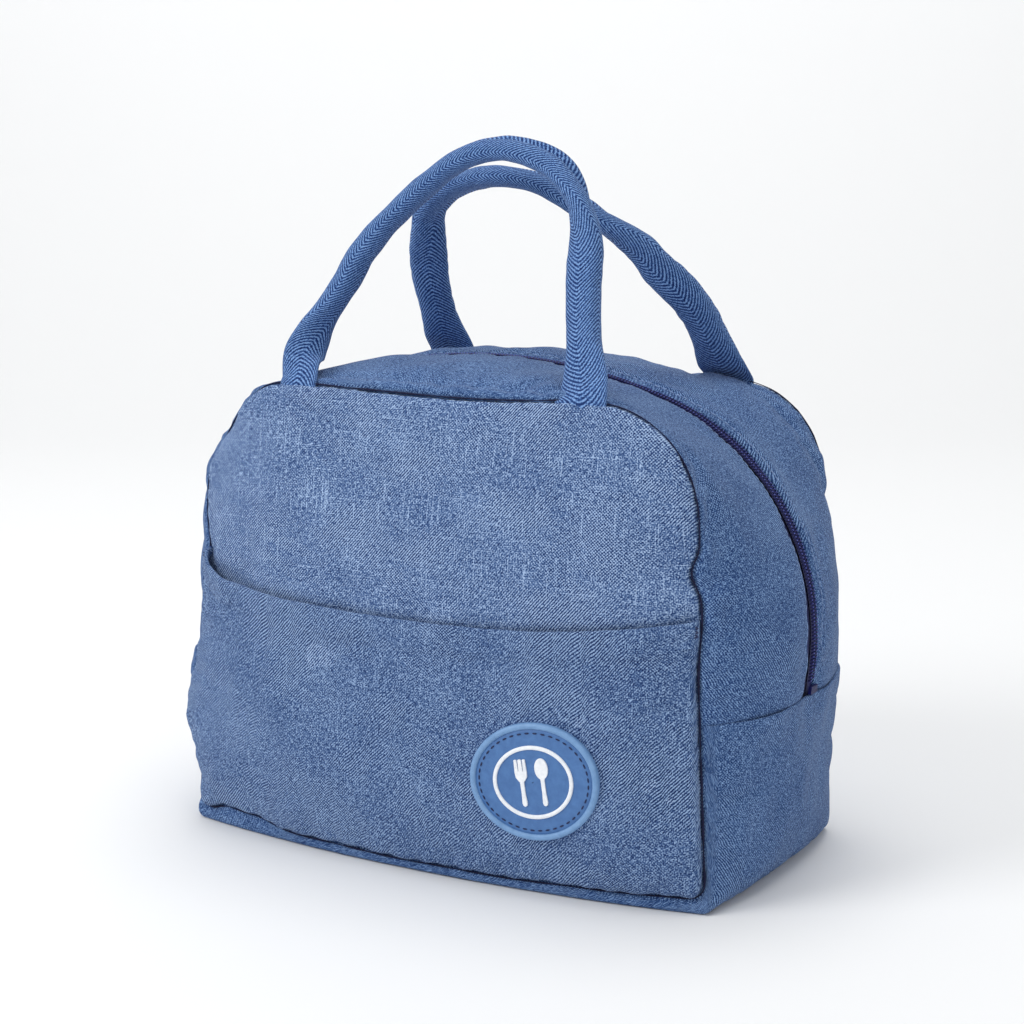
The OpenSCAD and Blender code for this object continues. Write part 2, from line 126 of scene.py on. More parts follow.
def outline(right, left, q):
    xr, zr = right.at(np.abs(q))
    xl, zl = left.at(np.abs(q))
    return np.where(q >= 0, xr, -xl), np.where(q >= 0, zr, zl)


H_SEAM, H_RIGHT, H_LEFT = Half(SEAM), Half(RIDGE_R), Half(RIDGE_L)
CELLS = (26, 4, 14, 12, 43)  # grid cells between the stations
QH = np.concatenate([np.linspace(k, k + 1, n + 1)[:-1] for k, n in enumerate(CELLS)] + [[5.0]])
Q = np.concatenate([-QH[::-1], QH[1:]])
MID = len(QH) - 1
NV = 33  # points across the gusset
LO, HI = 28, 71  # outline points, counted from the middle of the base, where a panel's corners are


def seam_points(q, side):
    """Sewn line between a panel and the gusset; side -1 is the front."""
    x, z = outline(H_SEAM, H_SEAM, q)
    aq = np.abs(q)
    low = 1 - smooth(1.0, 2.3, aq)
    upper = smooth(2.0, 2.6, aq) * (1 - smooth(4.45, 4.7, aq))
    bow = (12.0 if side < 0 else 4.0) * (1 - np.clip(np.abs(x) / 112, 0, 1) ** 2.2) * low
    if side < 0:
        rt, lt = (q > 0) * upper, (q < 0) * upper
        x = x + 2.2 * rt * smooth(86, 112, z) - 3.6 * rt * bell(z, 126, 6.0)
        x = x + 1.8 * lt * bell(z, 117, 8) - 7.5 * lt * bell(z, 46, 27)
        crown = (aq > 4.1) * smooth(150, 170, z)
        z = z + crown * (1.2 + 1.5 * bell(np.abs(x), 66, 20) - 2.0 * bell(x, 8, 40))
        turn = (q < 0) * (aq > 4) * bell(z, 167, 15)
        x, z = x + 4.2 * turn * smooth(-74, -88, x), z - 2.8 * turn * smooth(-74, -88, x)
        sag = 1.5 * (1 - np.clip(np.abs(x) / 100, 0, 1) ** 2)
        z = z + low * (0.15 * np.sin(x / 8.0) - sag + 2.4 * smooth(-62, -82, x) * smooth(-112, -100, x))
    y = HALF_Y + bow
    if side > 0:
        y = y - 9.0 * smooth(70, 112, np.abs(x)) * (1 - smooth(8, 60, z))
    return np.stack([x, side * y, z], -1)


def gusset_grid():
    """The band from front seam to back seam, puffed outward between them; rows follow Q."""
    xr, zr = outline(H_RIGHT, H_LEFT, Q)
    front, back = seam_points(Q, -1), seam_points(Q, 1)
    g = np.zeros((len(Q), NV, 3))
    low = 1 - smooth(1.5, 2.6, np.abs(Q))
    for j, vv in enumerate(np.linspace(-1, 1, NV)):
        puff = (1 - abs(vv) ** 1.8) ** (1 / 1.8)
        if vv > 0:
            tight = (1 - abs(vv) ** 1.4) ** (1 / 1.5)
            puff = puff + (tight - puff) * (smooth(2.0, 2.6, Q) * (1 - smooth(4.2, 4.5, Q)))
        edge = front if vv < 0 else back
        dist = HALF_Y * (1 - abs(vv))
        puff = np.asarray(puff) * np.ones(len(Q))
        flat = 1 - max(0.0, 1 - dist / 5.5) ** 2.4
        pz = puff + (flat - puff) * low
        g[:, j, 0] = edge[:, 0] * (1 - puff) + xr * puff
        g[:, j, 2] = edge[:, 2] * (1 - pz) + zr * pz
        far = (1 - vv) / 2
        g[:, j, 1] = vv * HALF_Y + (front[:, 1] + HALF_Y) * far**2
        g[:, j, 1] += (back[:, 1] - HALF_Y) * (1 - far) ** 2
        roll = math.sin(math.pi * dist / 11.0) if dist < 11 else 0.0
        g[:, j, 1] += math.copysign(4.6, vv) * roll * low
    g[:, :, 2] = np.maximum(g[:, :, 2], FLOOR_GAP)
    return g


def panel_grid(side):
    """A Coons patch inside the seam line, bulged away from its edges."""
    e = seam_points(Q, side)
    at = lambda k: e[MID + k]
    bottom = np.array([at(k) for k in range(-LO, LO + 1)])
    top = [at(-k) for k in range(HI, MID + 1)] + [at(k) for k in range(MID - 1, HI - 1, -1)]
    top = np.array(top)
    left = np.array([at(-k) for k in range(LO, HI + 1)])
    right = np.array([at(k) for k in range(LO, HI + 1)])
    s = np.linspace(0, 1, len(bottom))[:, None, None]
    t = np.linspace(0, 1, len(left))[None, :, None]
    g = (1 - t) * bottom[:, None] + t * top[:, None] + (1 - s) * left[None] + s * right[None]
    corners = (1 - s) * (1 - t) * bottom[0] + s * (1 - t) * bottom[-1]
    g = g - (corners + (1 - s) * t * top[0] + s * t * top[-1])
    d = nearest(g.reshape(-1, 3)[:, [0, 2]], e[:, [0, 2]])[0].reshape(g.shape[:2])
    rise = 1 - 0.55 * smooth(120, 180, g[:, :, 2])
    bulge = 5.0 if side < 0 else 4.5
    g[:, :, 1] += side * bulge * (1 - (1 - np.minimum(d, 60) / 60) ** 2.6) * rise
    return g


def nearest(p, line):
    """Distance from each point to a line of points, and the index of the nearest one."""
    best, which = np.empty(len(p)), np.empty(len(p), int)
    for k in range(0, len(p), 1500):
        d2 = ((p[k : k + 1500, None] - line[None]) ** 2).sum(2)
        which[k : k + 1500] = d2.argmin(1)
        best[k : k + 1500] = np.sqrt(d2.min(1))
    return best, which


# ------------------------------------------------------------------ cloth on the coarse shell
def quads(ids):
    return np.stack([ids[:-1, :-1], ids[1:, :-1], ids[1:, 1:], ids[:-1, 1:]], -1).reshape(-1, 4)


def relax(front, back, gus):
    """Inflates the sewn shell a little with its seams held, so that the padded walls puff and pucker."""
    nl = len(Q) - 1
    gi = np.arange(nl * NV).reshape(nl, NV)
    gi = np.vstack([gi, gi[:1]])
    pts, count, panels = [gus[:-1].reshape(-1, 3)], nl * NV, []
    for grid, j in ((front, 0), (back, NV - 1)):
        ns, nt = grid.shape[:2]
        ids = np.zeros((ns, nt), int)
        loop = lambda k: gi[(MID + k) % nl, j]
        ids[1:-1, 1:-1] = np.arange((ns - 2) * (nt - 2)).reshape(ns - 2, nt - 2) + count
        count += (ns - 2) * (nt - 2)
        for i in range(ns):
            k = HI + i
            ids[i, 0] = loop(i - LO)
            ids[i, -1] = loop(-k if k <= MID else 2 * MID - k)
        for i in range(nt):
            ids[0, i] = loop(-(LO + i))
            ids[-1, i] = loop(LO + i)
        panels.append(ids)
        pts.append(grid[1:-1, 1:-1].reshape(-1, 3))
    pts = np.vstack(pts)
    # simulated at ten times life size, which suits the solver
    faces = np.vstack([quads(gi)[:, ::-1], quads(panels[0]), quads(panels[1])[:, ::-1]])
    me = bpy.data.meshes.new("relax")
    me.from_pydata((pts * 0.01).tolist(), [], faces.tolist())
    me.update()
    ob = bpy.data.objects.new("relax", me)
    scene.collection.objects.link(ob)
    pin = ob.vertex_groups.new(name="pin")
    held = set(gi[:, 0].tolist()) | set(gi[:, -1].tolist())
    held |= {int(gi[k, j]) for k in range(nl) if abs(Q[k]) >= 2.9 for j in (15, 16, 17)}
    held |= {int(gi[k, j]) for k in range(nl) if abs(Q[k]) < 1.2 for j in range(2, NV - 2)}
    pin.add(sorted(held), 1.0, "REPLACE")
    mod = ob.modifiers.new("Cloth", "CLOTH")
    cs = mod.settings
    cs.quality = 6
    cs.mass = 0.3
    cs.tension_stiffness = cs.compression_stiffness = 15
    cs.shear_stiffness = 8
    cs.bending_stiffness = 1.2
    cs.vertex_group_mass = "pin"
    cs.shrink_min = -0.02
    cs.use_pressure = True
    cs.uniform_pressure_force = 2.0
    cs.effector_weights.gravity = 0.0
    mod.collision_settings.use_self_collision = False
    mod.point_cache.frame_start, mod.point_cache.frame_end = 1, SIM_FRAMES
    for f in range(1, SIM_FRAMES + 1):
        scene.frame_set(f)
    em = ob.evaluated_get(bpy.context.evaluated_depsgraph_get()).to_mesh()
    out = np.zeros(len(pts) * 3)
    em.vertices.foreach_get("co", out)
    out = out.reshape(-1, 3) * 100
    bpy.data.objects.remove(ob)
    bpy.data.meshes.remove(me)
    scene.frame_set(1)
    move = out - pts
    size = np.linalg.norm(move, axis=1)
    print("relax: largest move %.1f mm, mean %.2f mm" % (size.max(), size.mean()))
    move *= (MOVE_CAP * np.tanh(size / MOVE_CAP) / np.maximum(size, 1e-9))[:, None]
    out = pts + move
    out[:, 2] = np.maximum(out[:, 2], FLOOR_GAP)
    return out[panels[0]], out[panels[1]], out[gi]


FRONT, BACK, GUS = panel_grid(-1), panel_grid(1), gusset_grid()
FRONT, BACK, GUS = relax(FRONT, BACK, GUS)
LOOP = np.concatenate([GUS[:-1], GUS[:-1], GUS[:1]])
UP_FROM, UP_TO = MID + 44, 3 * MID - 44  # where the zipper strips start and end in LOOP


# ------------------------------------------------------------------ sampling the shell
def sample(grid, a, b):
    """Smooth surface through the grid at index positions a, b, which broadcast together."""
    a, b = np.broadcast_arrays(np.asarray(a, float), np.asarray(b, float))
    n, m = grid.shape[:2]
    e = np.concatenate([2 * grid[:1] - grid[1:2], grid, 2 * grid[-1:] - grid[-2:-1]])
    e = np.concatenate([2 * e[:, :1] - e[:, 1:2], e, 2 * e[:, -1:] - e[:, -2:-1]], axis=1)
    i = np.clip(np.floor(a).astype(int), 0, n - 2)
    j = np.clip(np.floor(b).astype(int), 0, m - 2)

    def cubic(f):
        return (
            -0.5 * f + f**2 - 0.5 * f**3,
            1 - 2.5 * f**2 + 1.5 * f**3,
            0.5 * f + 2 * f**2 - 1.5 * f**3,
            -0.5 * f**2 + 0.5 * f**3,
        )

    wa, wb = cubic(a - i), cubic(b - j)
    out = 0
    for u in range(4):
        for v in range(4):
            out = out + (wa[u] * wb[v])[..., None] * e[i + u, j + v]
    return out


def normals(g, sign=1):
    n = np.cross(np.gradient(g, axis=0), np.gradient(g, axis=1)) * sign
    return n / np.maximum(np.linalg.norm(n, axis=-1, keepdims=True), 1e-9)


def waves(p, scale, seed, n=9):
    """Smooth repeatable noise of about -1 to 1 from a few sine waves."""
    r = np.random.RandomState(seed)
    out = 0
    for _ in range(n):
        k = r.normal(size=3)
        k = k / np.linalg.norm(k) * (2 * math.pi / scale) * r.uniform(0.6, 1.7)
        out = out + np.sin(p @ k + r.uniform(0, 6.28))
    return out / math.sqrt(n)


def seam_distance(p, sides=(-1, 1)):
    """Distance from every point of a grid to the nearest of the seams."""
    return np.min([nearest(p.reshape(-1, 3), SEAM_LINE[s][0])[0] for s in sides], 0).reshape(p.shape[:-1])


SEAM_LINE = {}  # each seam's points and the direction out of the bag there
for side, j in ((-1, 0), (1, NV - 1)):
    line = sample(LOOP, np.arange(0, len(Q) - 1, 0.25), float(j))
    tan = np.roll(line, -1, 0) - np.roll(line, 1, 0)
    out_n = np.stack([tan[:, 2], 0 * tan[:, 0], -tan[:, 0]], -1)
    out_n /= np.linalg.norm(out_n, axis=1, keepdims=True)
    SEAM_LINE[side] = (line, out_n + np.array([0, side, 0]))


def sew(p, sides=(-1, 1), depth=1.9, reach=2.6):
    """Draws a surface down into the seams, with small puckers beside them."""
    flat = p.reshape(-1, 3)
    move = np.zeros_like(flat)
    for side in sides:
        line, way = SEAM_LINE[side]
        d, k = nearest(flat, line)
        pucker = waves(line[k], 9.0, 5 + side) * (0.3 + 0.7 * smooth(6, 16, line[k][:, 2]))
        near = np.clip(1 - d / reach, 0, 1) ** 2.0
        amount = depth * near * (1 + 0.25 * pucker) - 0.16 * pucker * bell(d, 4.5, 3.0)
        move -= way[k] * amount[:, None]
    return p + move.reshape(p.shape)


def steps(n, first=0.1, cell=0.42, both=True):
    """Index positions 0..n, closer together at the ends."""
    a = [0, first, 2.1 * first, 3.4 * first, 5 * first, 7 * first]
    lead = a + list(np.arange(a[-1] + 2.6 * first, 2.0, 3.2 * first))
    tail = [n - v for v in lead[::-1]] if both else [n]
    mid = np.linspace(lead[-1], tail[0], max(2, int((tail[0] - lead[-1]) / cell) + 1))[1:-1]
    return np.concatenate([lead, mid, tail])


# ------------------------------------------------------------------ mesh helpers
def make(name, verts, faces, mat, uv=None):
    """faces is a list of equal-length rows, or several such arrays with different lengths."""
    me = bpy.data.meshes.new(name)
    verts = np.asarray(verts, float).reshape(-1, 3) * MM
    faces = faces if isinstance(faces, list) else [faces]
    groups = [np.asarray(f, np.int64) for f in faces if len(f)]
    loops = np.concatenate([g.ravel() for g in groups]).astype(np.int32)
    sizes = np.concatenate([np.full(len(g), g.shape[1]) for g in groups])
    me.vertices.add(len(verts))
    me.vertices.foreach_set("co", verts.ravel())
    me.loops.add(len(loops))
    me.loops.foreach_set("vertex_index", loops)
    me.polygons.add(len(sizes))
    starts = np.concatenate([[0], np.cumsum(sizes)[:-1]]).astype(np.int32)
    me.polygons.foreach_set("loop_start", starts)
    me.update(calc_edges=True)
    if uv is not None:
        layer = me.uv_layers.new(name="UVMap")
        layer.data.foreach_set("uv", (np.asarray(uv, float).reshape(-1, 2) * MM)[loops].ravel())
    me.validate()
    me.shade_smooth()
    me.materials.append(mat)
    ob = bpy.data.objects.new(name, me)
    scene.collection.objects.link(ob)
    return ob


def grid_object(name, g, uv, mat, flip=False):
    f = quads(np.arange(g.shape[0] * g.shape[1]).reshape(g.shape[:2]))
    return make(name, g, f[:, ::-1] if flip else f, mat, uv)


def lengths(g, axis):
    d = np.linalg.norm(np.diff(g, axis=axis), axis=-1)
    z = np.zeros_like(np.take(d, [0], axis))
    return np.concatenate([z, np.cumsum(d, axis)], axis)


def grid_uv(g):
    """UV lengths in mm across and along a grid."""
    return np.stack([lengths(g, 1), lengths(g, 0)], -1)


def travelled(line):
    return np.r_[0, np.cumsum(np.linalg.norm(np.diff(line, axis=0), axis=1))]


def unit(v):
    return v / np.linalg.norm(v, axis=1, keepdims=True)


def frames_along(p, up):
    t = np.gradient(p, axis=0)
    t /= np.linalg.norm(t, axis=1, keepdims=True)
    n = np.cross(up, t)
    n /= np.linalg.norm(n, axis=1, keepdims=True)
    return t, n, np.cross(t, n)


def spline(rows, n):
    """Catmull-Rom curve through rows at n even steps of length."""
    p = np.asarray(rows, float)
    s = np.linspace(0, len(p) - 1, 60 * len(p))
    g = sample(np.repeat(p[:, None], 2, 1), s, 0.0)
    d = travelled(g)
    at = np.linspace(0, d[-1], n)
    return np.stack([np.interp(at, d, g[:, k]) for k in range(g.shape[1])], -1), d[-1]


def capsules(centres, dirs, ups, length, width, height, mat, name, rings=5, around=8):
    """Many small rounded bars in one mesh: centres, long directions and up directions."""
    t = np.linspace(-1, 1, rings)
    r = np.sqrt(np.clip(1 - np.abs(t) ** 3.2, 0.02, 1))
    a = np.linspace(0, 2 * math.pi, around, endpoint=False)
    dirs = dirs / np.linalg.norm(dirs, axis=1, keepdims=True)
    sides = np.cross(dirs, ups)
    sides /= np.linalg.norm(sides, axis=1, keepdims=True)
    ups = np.cross(sides, dirs)
    length = np.broadcast_to(length, len(centres))
    v = (
        centres[:, None, None]
        + dirs[:, None, None] * (t[None, :, None, None] * length[:, None, None, None] / 2)
        + sides[:, None, None] * (r[:, None] * np.cos(a) * width / 2)[None, :, :, None]
        + ups[:, None, None] * (r[:, None] * np.sin(a) * height / 2)[None, :, :, None]
    )
    one = np.arange(rings * around).reshape(rings, around)
    ring = quads(np.hstack([one, one[:, :1]]))
    ends = np.stack([one[0], one[-1][::-1]])
    base = (np.arange(len(centres)) * rings * around)[:, None, None]
    uv = np.stack(np.broadcast_arrays(t[:, None] * 2, a), -1)
    uv = np.broadcast_to(uv, (len(centres), rings, around, 2))
    faces = [(ring[None] + base).reshape(-1, 4), (ends[None] + base).reshape(-1, around)]
    return make(name, v, faces, mat, uv)


# ------------------------------------------------------------------ materials
def srgb(c):
    c = np.array(c, float) / 255
    return tuple(np.where(c <= 0.04045, c / 12.92, ((c + 0.055) / 1.055) ** 2.4)) + (1.0,)


class Look:
    """A procedural material built from nodes; values are plain numbers or sockets."""

    def __init__(self, name, rough, **fixed):
        self.m = bpy.data.materials.new(name)
        self.m.use_nodes = True
        self.t = self.m.node_tree
        self.b = self.t.nodes["Principled BSDF"]
        self.b.inputs["Roughness"].default_value = rough
        for k, v in fixed.items():
            self.b.inputs[k.replace("_", " ")].default_value = v

    def node(self, kind, ins, out=0, **props):
        n = self.t.nodes.new("ShaderNode" + kind)
        for k, v in props.items():
            setattr(n, k, v)
        for k, v in ins.items():
            if isinstance(v, bpy.types.NodeSocket):
                self.t.links.new(v, n.inputs[k])
            else:
                n.inputs[k].default_value = v
        return n.outputs[out]

    def f(self, op, a, b=0.0, c=0.0):
        return self.node("Math", {0: a, 1: b, 2: c}, operation=op)

    def uv(self):
        v = self.node("UVMap", {}, uv_map="UVMap")
        return self.node("VectorMath", {0: v, 3: 1000.0}, operation="SCALE")

    def place(self):
        v = self.node("TexCoord", {}, out=3)
        return self.node("VectorMath", {0: v, 3: 1000.0}, operation="SCALE")

    def noise(self, v, stretch, detail=2.0):
        s = self.node("VectorMath", {0: v, 1: stretch}, operation="MULTIPLY")
        return self.node("TexNoise", {"Vector": s, "Scale": 1.0, "Detail": detail, "Roughness": 0.6})

    def ramp(self, v, stops):
        o = self.node("ValToRGB", {0: v})
        r = o.node.color_ramp
        while len(r.elements) < len(stops):
            r.elements.new(0.5)
        for e, (p, c) in zip(r.elements, stops):
            e.position, e.color = p, c if len(c) == 4 else srgb(c)
        return o

    def color(self, socket):
        self.t.links.new(socket, self.b.inputs["Base Color"])

    def bump(self, height, mm, strength=1.0):
        n = self.node("Bump", {"Height": height, "Distance": mm * MM, "Strength": strength})
        self.t.links.new(n, self.b.inputs["Normal"])


def cloth(name, dark, mid, light, chevron=False, slub=1.0, rib_share=0.3, slant=-1.0):
    """Heathered weave: noise stretched along each yarn, ribs or herringbone, and light slubs."""
    k = Look(name, 0.88, Sheen_Weight=0.06, Sheen_Roughness=0.5, Specular_IOR_Level=0.2)
    v = k.uv()
    sep = k.node("SeparateXYZ", {0: v}).node
    x, y = sep.outputs[0], sep.outputs[1]
    wob = k.f("MULTIPLY", k.noise(v, (0.16, 0.16, 0.16)), 1.3)
    wave = lambda t: k.f("SINE", k.f("MULTIPLY_ADD", t, 2 * math.pi, wob))
    if chevron:
        side = k.f("PINGPONG", k.f("ABSOLUTE", k.f("SUBTRACT", x, 22.0)), 11.0)
        rib = wave(k.f("MULTIPLY", k.f("MULTIPLY_ADD", side, 1.05, y), 1 / 1.75))
    else:
        # fine plain weave seen as a small check in some parts and as a slanted rib in others
        a, b = wave(k.f("MULTIPLY", x, 1 / 1.3)), wave(k.f("MULTIPLY", y, 1 / 1.2))
        check = k.f("MULTIPLY", a, b)
        line = k.f("ADD", k.f("MULTIPLY", x, 0.74 * slant), k.f("MULTIPLY", y, 0.67))
        slanted = wave(k.f("MULTIPLY", line, 1 / 0.92))
        patches = k.noise(v, (0.017, 0.017, 1.0), 1.0)
        part = k.node("MapRange", {0: patches, 1: 0.44, 2: 0.58, 3: 0.0, 4: 1.0})
        rib = k.node("Mix", {0: part, 2: k.f("MULTIPLY", slanted, 0.8), 3: check})
        clear = k.noise(v, (0.022, 0.03, 1.0), 1.0)
        show = k.node("MapRange", {0: clear, 1: 0.4, 2: 0.62, 3: 0.35, 4: 1.0})
        rib = k.f("MULTIPLY", rib, show)
    weft, warp = k.noise(v, (0.55, 3.0, 1.0), 1.0), k.noise(v, (3.0, 0.55, 1.0), 1.0)
    fine = k.noise(v, (1.8, 1.8, 1.0), 1.0)
    val = k.f("MULTIPLY_ADD", rib, rib_share * 0.5, 0.5)
    for tex, share in ((weft, 1.05), (warp, 1.05), (fine, 1.1), (k.noise(v, (0.028, 0.04, 1.0)), 0.2)):
        val = k.f("MULTIPLY_ADD", k.f("SUBTRACT", tex, 0.5), share, val)
    for way, gain in (((2.0, 0.045, 1.0), 0.34), ((0.05, 1.8, 1.0), 0.24)):
        streak = k.node("MapRange", {0: k.noise(v, way, 1.0), 1: 0.6, 2: 0.74, 3: 0.0, 4: 1.0})
        val = k.f("MULTIPLY_ADD", streak, gain * slub, val)
    k.color(k.ramp(val, [(0.12, dark), (0.5, mid), (0.84, light)]))
    k.bump(k.f("ADD", k.f("MULTIPLY", rib, 0.35), weft), 0.3, 0.6)
    return k.m


def simple(name, c1, c2, rough, scale=0.6, mm=0.08, **fixed):
    k = Look(name, rough, **fixed)
    v = k.place()
    n = k.noise(v, (scale, scale, scale), 3.0)
    k.color(k.ramp(n, [(0.3, c1), (0.7, c2)]))
    k.bump(k.noise(v, (scale * 4, scale * 4, scale * 4)), mm, 0.5)
    return k.m


def tape_look():
    k = Look("navy_tape", 0.8, Sheen_Weight=0.15, Specular_IOR_Level=0.3)
    v = k.uv()
    sep = k.node("SeparateXYZ", {0: v}).node
    a = k.f("SINE", k.f("MULTIPLY", sep.outputs[0], 9.0))
    b = k.f("SINE", k.f("MULTIPLY", sep.outputs[1], 5.5))
    h = k.f("MULTIPLY_ADD", k.f("MULTIPLY", a, b), 0.5, 0.5)
    k.color(k.ramp(h, [(0.1, (4, 12, 70)), (0.9, (16, 32, 116))]))
    k.bump(h, 0.12, 0.6)
    return k.m


def foil_look():
    k = Look("foil", 0.34, Metallic=0.85)
    v = k.place()
    n = k.noise(v, (0.09, 0.09, 0.09), 4.0)
    k.color(k.ramp(n, [(0.3, (168, 172, 178)), (0.7, (206, 209, 214))]))
    fine = k.node("TexVoronoi", {"Vector": v, "Scale": 0.11}, feature="DISTANCE_TO_EDGE")
    k.bump(k.f("ADD", k.f("MULTIPLY", fine, 2.0), n), 1.2, 0.5)
    return k.m


front_look = cloth("front_cloth", (12, 34, 84), (66, 96, 144), (166, 190, 224), rib_share=0.95)
pocket_look = cloth("pocket_cloth", (10, 32, 80), (58, 87, 134), (152, 178, 214), slub=0.6, rib_share=0.95)
side_look = cloth(
    "side_cloth", (12, 38, 88), (50, 82, 132), (132, 164, 208), slub=0.6, rib_share=0.85, slant=1.0
)
web_look = cloth(
    "web_cloth", (12, 36, 88), (54, 89, 146), (124, 160, 210), chevron=True, slub=0.1, rib_share=0.7
)
bind_look = cloth("bind_cloth", (12, 18, 50), (26, 36, 80), (50, 62, 112), slub=0.1)
# painted shadow: near-black material for the tube that stands in for the shade deep in the outer seams
seam_shade_look = simple("seam_painted_shadow", (6, 10, 40), (12, 20, 62), 0.95, 1.0)
tape_mat = tape_look()
foil_mat = foil_look()
coil_mat = simple("navy_coil", (4, 8, 60), (12, 18, 92), 0.5, 1.2, Specular_IOR_Level=0.3)
metal_mat = simple(
    "navy_lacquer", (10, 16, 54), (18, 26, 72), 0.34, 0.5, 0.03, Metallic=0.35, Coat_Weight=0.3
)
thread_mat = simple("blue_thread", (104, 132, 180), (142, 166, 206), 0.7, 2.5, 0.1)
# pale thread on the coil; its pale colour is also a painted highlight on the coil's turns
pale_thread_highlight_mat = simple("pale_coil_thread_and_highlight", (70, 82, 170), (104, 116, 200), 0.6, 2.5, 0.1)
dark_thread = simple("navy_thread", (14, 22, 60), (30, 42, 88), 0.7, 2.5, 0.1)
rubber_mat = simple("blue_rubber", (62, 104, 160), (74, 118, 174), 0.5, 0.35, 0.05)
rim_mat = simple("pale_rubber", (104, 144, 190), (122, 160, 204), 0.5, 0.35, 0.05)
white_mat = simple("white_rubber", (226, 230, 236), (244, 246, 249), 0.55, 0.5, 0.04)


# ------------------------------------------------------------------ outer cloth
# height of the pocket edge across the front
EDGE_X = [-125, -113, -107, -103, -97, -91, -76, -61, -30, 0, 30, 56, 81, 100, 113, 125]
EDGE_Z = [120, 118, 116, 111, 108, 106, 103, 101, 99.6, 99, 99.5, 101, 104, 107, 109, 111]
ex = np.arange(-135, 136, 0.5)
window = np.hanning(25)
ez = np.pad(np.interp(ex, EDGE_X, EDGE_Z), len(window) // 2, mode="edge")
ez = np.convolve(ez, window / window.sum(), "valid")


def below_edge(p):
    """Height of the pocket's edge above a point, at the point's x."""
    return np.interp(p[..., 0], ex, ez) - p[..., 2]


def wrinkles(p, seed, sides=(-1, 1)):
    d = seam_distance(p, sides)
    broad = 0.55 * waves(p, 46, seed) + 0.22 * waves(p, 17, seed + 1)
    folds = 0.35 * waves(p, 13, seed + 2) * np.exp(-d / 14)
    return ((broad + folds) * (1 - np.exp(-d / 5)))[..., None]


def panel(grid, side, seed):
    a, b = steps(56), steps(43)
    g = sample(grid, a[:, None], b[None])
    n = normals(g, -side)
    g = g + n * wrinkles(g, seed, (side,))
    if side < 0:
        # a shallow groove where the pocket's edge presses on the panel
        over = 1 - below_edge(g)
        g = g - n * np.exp(-((np.minimum(over, 0) / 9) ** 2) - (np.maximum(over, 0) / 3.2) ** 2)[..., None]
    g = sew(g, (side,))
    return g, g[..., [0, 2]]


def fold_edge(g, n, r, depth):
    """Turns the last row over a rounded edge and back under itself."""
    up = g[-1] - g[-2]
    up /= np.linalg.norm(up, axis=-1, keepdims=True)
    rows = [
        g[-1] + up * r * math.sin(f) - n[-1] * r * (1 - math.cos(f)) for f in np.linspace(0.45, math.pi, 6)
    ]
    rows += [g[-1] - n[-1] * 2 * r - up * depth * k for k in (0.4, 1.0)]
    return np.concatenate([g, np.array(rows)])


def flex(ob):
    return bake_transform(ob)


def carry(ob, side):
    """The front half keeps its place with its transform baked in; the back half is attached to the shell."""
    return flex(ob) if side < 0 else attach(ob, "shell")


g, uv = panel(FRONT, -1, 11)
front_panel = grid_object("front_panel_cloth", g, uv, front_look)
flex(front_panel)
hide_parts("front_panel", "front_panel_top", "foam_front", "foam_front_top")

g, uv = panel(BACK, 1, 21)
back_panel = grid_object("back_panel_cloth", g, uv, front_look, flip=True)
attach(back_panel, "shell")
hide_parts("back_panel", "foam_back")

# pocket: follows the front panel up to its hemmed edge
a = steps(56)
bs = np.arange(0, 43.01, 0.2)
col = sample(FRONT, a[:, None], bs[None])
top_b = np.array([np.interp(0, -below_edge(c), bs) for c in col])
first = [0, 0.006, 0.013, 0.022, 0.034, 0.05]
tau = np.concatenate([first, np.linspace(0.068, 0.86, 48), np.linspace(0.868, 1, 17)])
g = sample(FRONT, a[:, None], top_b[:, None] * tau[None])
n = normals(g)
d = seam_distance(g, (-1,))[..., None]
gap = below_edge(g)[..., None]
mouth = smooth(14, 0, gap)
lift = 1.2 * smooth(0, 3.5, d) + 0.75 * smooth(11.5, 10.2, gap) * smooth(0, 3, d)
lift = lift - 0.35 * bell(gap, 10.0, 0.7) + 0.2 * waves(g, 20, 34)[..., None] * smooth(25, 3, gap)
lift = lift + 2.6 * bell(g[..., :1], -90, 13) * mouth + 0.9 * mouth * smooth(0, 12, d)
g = sew(g + n * (lift + 1.15 * wrinkles(g, 31, (-1,))), (-1,), depth=1.8)
n = normals(g)
gt = fold_edge(g.transpose(1, 0, 2), n.transpose(1, 0, 2), 0.8, 9).transpose(1, 0, 2)
POCKET = g
uv = np.stack([gt[..., 0], lengths(gt, 1)], -1)
pocket = grid_object("pocket_cloth", gt, uv, pocket_look)
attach(pocket, "shell")
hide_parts("front_pocket", "pocket_hem")

# lower gusset with folded ends over the zipper strips
acr = steps(32, first=0.09, cell=0.5)
al = np.linspace(MID - 44, MID + 44, 250)
g = sample(LOOP, al[:, None], acr[None])
n = normals(g, -1)
ends = np.minimum(lengths(g, 0), lengths(g, 0)[-1:] - lengths(g, 0))[..., None]
d = seam_distance(g)[..., None]
over = 0.85 * smooth(10.5, 8.4, ends) * smooth(0, 4, d) - 0.3 * bell(ends, 7.5, 0.6) * smooth(0, 4, d)
low_w = wrinkles(g, 41) * (0.25 + 0.75 * smooth(4, 20, g[..., 2]))[..., None]
g = sew(g + n * (over + low_w))
g[..., 2] = np.maximum(g[..., 2], 0.35)
n = normals(g, -1)
g2 = fold_edge(g, n, 0.7, 6)
g2 = fold_edge(g2[::-1], np.concatenate([n, n[-1:].repeat(8, 0)])[::-1], 0.7, 6)[::-1]
gusset = grid_object("lower_gusset_cloth", g2, grid_uv(g2), side_look, flip=True)
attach(gusset, "shell")
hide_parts("lower_gusset", "foam_floor")


# zipper strips, tapes, coils
def v_index(y):
    """Position across LOOP of a distance from the middle of the zipper."""
    return 16 * (1 + y / HALF_Y)


AU = np.linspace(UP_FROM - 1.4, UP_TO + 1.4, 330)


